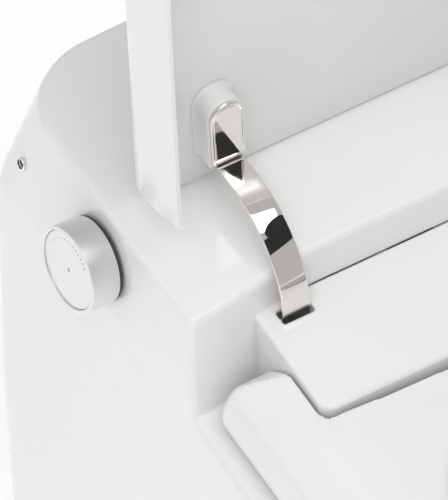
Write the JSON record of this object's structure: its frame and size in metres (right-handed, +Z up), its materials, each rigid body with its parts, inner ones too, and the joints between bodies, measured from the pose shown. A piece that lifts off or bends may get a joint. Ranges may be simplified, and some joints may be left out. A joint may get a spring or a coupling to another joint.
{
  "type": "shower toilet",
  "caption": "Back-to-wall shower toilet with a raised rear deck, lid on curved chrome arms, lift-up seat, side control knob and spray wand.",
  "frame": {"origin": "on the floor, on the centre plane, under the middle of the rear tie bar, 20 mm in front of the wall face", "axes": "+Z up, -Y out of the front of the toilet, +Y towards the wall, +X to the right as seen from the front"},
  "size_m": [0.4124, 0.65, 0.9116],
  "materials": {
    "ceramic": "gloss glaze",
    "lacquer": "gloss white",
    "seat": "gloss white",
    "lid": "gloss white",
    "chrome": "polished",
    "aluminium": "fine satin",
    "knob_face": "satin white",
    "steel": "brushed",
    "brass": "machined",
    "rubber": "matt",
    "buffer": "matt",
    "dark_plastic": "matt",
    "grey_plastic": "matt",
    "board": "solder mask"
  },
  "bodies": {
    "base": {"ceramic_body": "ceramic", "hinge_cover": "lacquer", "technic_tray": "grey_plastic", "heater_tank": "steel", "water_pump": "dark_plastic", "power_supply": "dark_plastic", "control_board": "board", "board_cover": "grey_plastic", "inlet_valve": "dark_plastic", "inlet_stub": "brass", "power_inlet": "dark_plastic", "outlet_sleeve": "rubber", "flush_seal": "rubber", "wand_cylinder": "grey_plastic", "knob_base": "dark_plastic", "knob_encoder": "dark_plastic", "seat_hinge_block_left": "grey_plastic", "seat_hinge_block_right": "grey_plastic", "seat_hinge_pin_left": "steel", "seat_hinge_pin_right": "steel", "lid_hinge_bracket_left": "steel", "lid_hinge_bracket_right": "steel", "lid_axle_left": "steel", "lid_axle_right": "steel", "lid_damper_left": "dark_plastic", "lid_damper_right": "dark_plastic", "floor_bracket_left": "steel", "floor_bracket_right": "steel", "floor_screw_left": "steel", "floor_screw_right": "steel", "fixing_cap_left": "chrome", "fixing_cap_right": "chrome", "fixing_screw_left": "dark_plastic", "fixing_screw_right": "dark_plastic"},
    "lid": {"lid_shell": "lid", "lid_inner_panel": "lid", "hinge_boss_left": "lid", "hinge_boss_right": "lid", "hinge_plaque_left": "chrome", "hinge_plaque_right": "chrome", "hinge_arm_left": "chrome", "hinge_arm_right": "chrome", "lid_buffer_left": "buffer", "lid_buffer_right": "buffer"},
    "seat": {"seat_ring": "seat", "seat_base": "seat", "seat_buffer_rear_left": "buffer", "seat_buffer_rear_right": "buffer", "seat_buffer_front_left": "buffer", "seat_buffer_front_right": "buffer"},
    "spray_wand": {"wand_tube": "lacquer", "wand_nozzle": "steel", "wand_cap": "lacquer"},
    "knob_turn_ring": {"knob_ring": "aluminium"},
    "knob_push_face": {"knob_face": "knob_face", "knob_plunger": "steel"}
  },
  "joints": [
    {"name": "lid_hinge", "type": "hinge", "parent": "base", "child": "lid", "pos_m": [0, -0.158, 0.464], "axis": [1, 0, 0], "range_deg": [0, 94]},
    {"name": "seat_hinge", "type": "hinge", "parent": "base", "child": "seat", "pos_m": [0, -0.255, 0.434], "axis": [1, 0, 0], "range_deg": [-96, 0]},
    {"name": "wand_slide", "type": "slide", "parent": "base", "child": "spray_wand", "axis": [0, -0.9397, -0.342], "range_m": [0, 0.1], "stiffness_N_per_m": 12, "springref_m": -0.08},
    {"name": "knob_turn", "type": "hinge", "parent": "base", "child": "knob_turn_ring", "pos_m": [-0.1882, -0.111, 0.451], "axis": [-0.9889, -0.0518, 0.1392], "range_deg": [-140, 140]},
    {"name": "knob_push", "type": "slide", "parent": "base", "child": "knob_push_face", "axis": [0.9889, 0.0518, -0.1392], "range_m": [0, 0.0015], "stiffness_N_per_m": 900, "springref_m": -0.0005}
  ]
}
